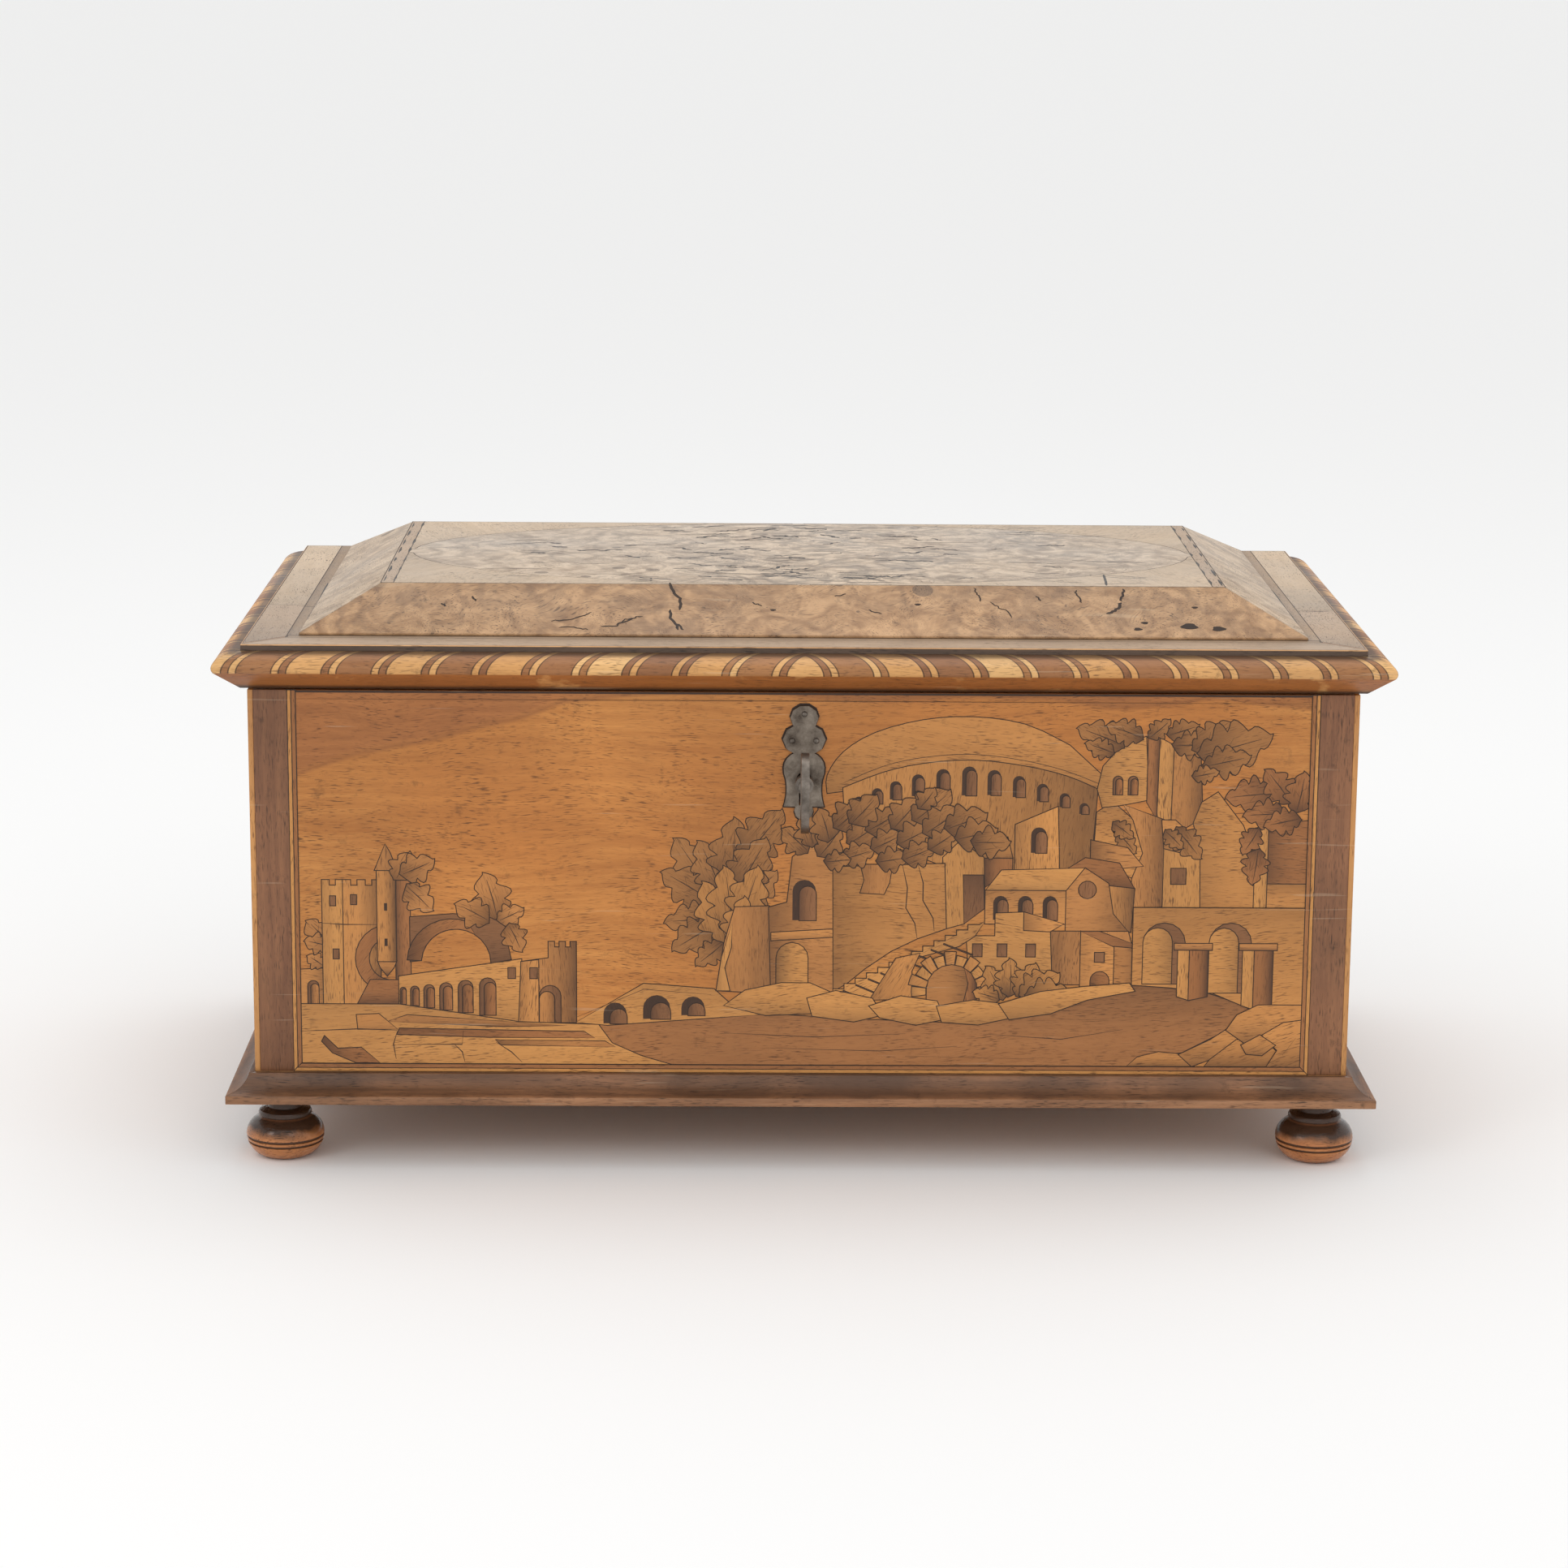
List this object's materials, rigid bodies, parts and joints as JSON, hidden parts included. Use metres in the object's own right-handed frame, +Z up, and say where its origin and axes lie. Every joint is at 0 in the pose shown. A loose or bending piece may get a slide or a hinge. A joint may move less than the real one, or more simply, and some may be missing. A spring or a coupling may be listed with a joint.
{
  "type": "cylinder music box",
  "caption": "Marquetry table casket with a hinged coffered lid, key lock and bun feet, holding a lever-wound cylinder and comb movement.",
  "frame": {"origin": "middle of the footprint of the whole part, key bow and plinth included, on the ground under the feet", "axes": "+X towards the right-hand end, +Y towards the back, +Z up"},
  "size_m": [0.446, 0.2852, 0.2196],
  "materials": {
    "fruitwood": "satin",
    "walnut": "satin",
    "burr_walnut": "satin",
    "pine": "matte",
    "iron": "satin",
    "steel": "satin",
    "brass": "satin"
  },
  "bodies": {
    "case": {"bottom_board": "pine", "front_board": "pine", "back_board": "walnut", "left_board": "pine", "right_board": "pine", "front_marquetry_panel": "fruitwood", "stile_front_left": "walnut", "stile_front_right": "walnut", "left_marquetry_panel": "fruitwood", "right_marquetry_panel": "fruitwood", "plinth_front": "walnut", "plinth_back": "walnut", "plinth_left": "walnut", "plinth_right": "walnut", "foot_front_left": "walnut", "foot_front_right": "walnut", "foot_back_left": "walnut", "foot_back_right": "walnut", "hinge_case_leaf_left": "iron", "hinge_case_leaf_right": "iron", "escutcheon": "iron", "lock_case": "iron", "lever_partition": "pine", "bedplate": "brass", "comb": "steel", "comb_riser": "brass", "arbor_bearing_left": "brass", "arbor_bearing_right": "brass", "barrel_bracket_left": "brass", "barrel_bracket_right": "brass", "governor_frame": "brass"},
    "lid": {"lid_board": "walnut", "lid_nosing_front": "walnut", "lid_nosing_left": "walnut", "lid_nosing_right": "walnut", "lid_slope_front": "burr_walnut", "lid_slope_back": "burr_walnut", "lid_slope_left": "burr_walnut", "lid_slope_right": "burr_walnut", "lid_top_panel": "burr_walnut", "hinge_lid_leaf_left": "iron", "hinge_lid_leaf_right": "iron", "lock_staple": "iron"},
    "key": {"key": "iron"},
    "bolt": {"lock_bolt": "steel"},
    "arbor": {"cylinder_arbor": "steel", "great_wheel": "brass"},
    "cylinder": {"tune_cylinder": "brass"},
    "barrel": {"spring_barrel": "brass", "barrel_cover": "brass", "mainspring": "steel"},
    "winding_lever": {"winding_lever": "steel"},
    "winding_arbor": {"barrel_arbor": "steel"},
    "click": {"ratchet_click": "steel"},
    "governor": {"governor_wheel": "brass"},
    "fly": {"fly": "steel"},
    "start_stop_lever": {"start_stop_lever": "brass"},
    "change_lever": {"change_lever": "brass"}
  },
  "joints": [
    {"name": "lid_hinge", "type": "hinge", "parent": "case", "child": "lid", "pos_m": [0, 0.13535, 0.1867], "axis": [-1, 0, 0], "range_deg": [0, 100]},
    {"name": "key_turn", "type": "hinge", "parent": "case", "child": "key", "pos_m": [0, -0.10385, 0.1527], "axis": [0, 1, 0], "range_deg": [0, 180]},
    {"name": "bolt_slide", "type": "slide", "parent": "case", "child": "bolt", "axis": [1, 0, 0], "range_m": [0, 0.007]},
    {"name": "cylinder_spin", "type": "hinge", "parent": "case", "child": "arbor", "pos_m": [0, 0.02615, 0.1012], "axis": [1, 0, 0], "continuous": true},
    {"name": "cylinder_shift", "type": "slide", "parent": "arbor", "child": "cylinder", "axis": [1, 0, 0], "range_m": [0, 0.003]},
    {"name": "barrel_spin", "type": "hinge", "parent": "case", "child": "barrel", "pos_m": [-0.11, 0.05815, 0.10926], "axis": [1, 0, 0], "continuous": true},
    {"name": "winding_lever_swing", "type": "hinge", "parent": "case", "child": "winding_lever", "pos_m": [-0.165, 0.05815, 0.10926], "axis": [-1, 0, 0], "range_deg": [0, 75]},
    {"name": "winding_arbor_turn", "type": "hinge", "parent": "case", "child": "winding_arbor", "pos_m": [-0.12, 0.05815, 0.10926], "axis": [-1, 0, 0], "range_deg": [0, 75]},
    {"name": "click_pivot", "type": "hinge", "parent": "case", "child": "click", "pos_m": [-0.156, 0.07815, 0.13126], "axis": [1, 0, 0], "range_deg": [0, 12], "stiffness_Nm_per_rad": 0.01, "springref_deg": -5.73},
    {"name": "governor_spin", "type": "hinge", "parent": "case", "child": "governor", "pos_m": [0.152, 0.05316, 0.0912], "axis": [1, 0, 0], "continuous": true},
    {"name": "fly_spin", "type": "hinge", "parent": "case", "child": "fly", "pos_m": [0.152, 0.06756, 0.1042], "axis": [0, 0, 1], "continuous": true},
    {"name": "start_stop_swing", "type": "hinge", "parent": "case", "child": "start_stop_lever", "pos_m": [0.169, 0.02615, 0.0662], "axis": [0, 0, -1], "range_deg": [0, 6]},
    {"name": "change_swing", "type": "hinge", "parent": "case", "child": "change_lever", "pos_m": [0.146, -0.03385, 0.0662], "axis": [0, 0, -1], "range_deg": [0, 8]}
  ],
  "couplings": [
    {"joint": "bolt_slide", "follows": "key_turn", "m_per_rad": 0.002228},
    {"joint": "barrel_spin", "follows": "cylinder_spin", "ratio": -0.26923},
    {"joint": "governor_spin", "follows": "cylinder_spin", "ratio": -5},
    {"joint": "fly_spin", "follows": "cylinder_spin", "ratio": 200},
    {"joint": "winding_arbor_turn", "follows": "winding_lever_swing", "ratio": 1}
  ]
}
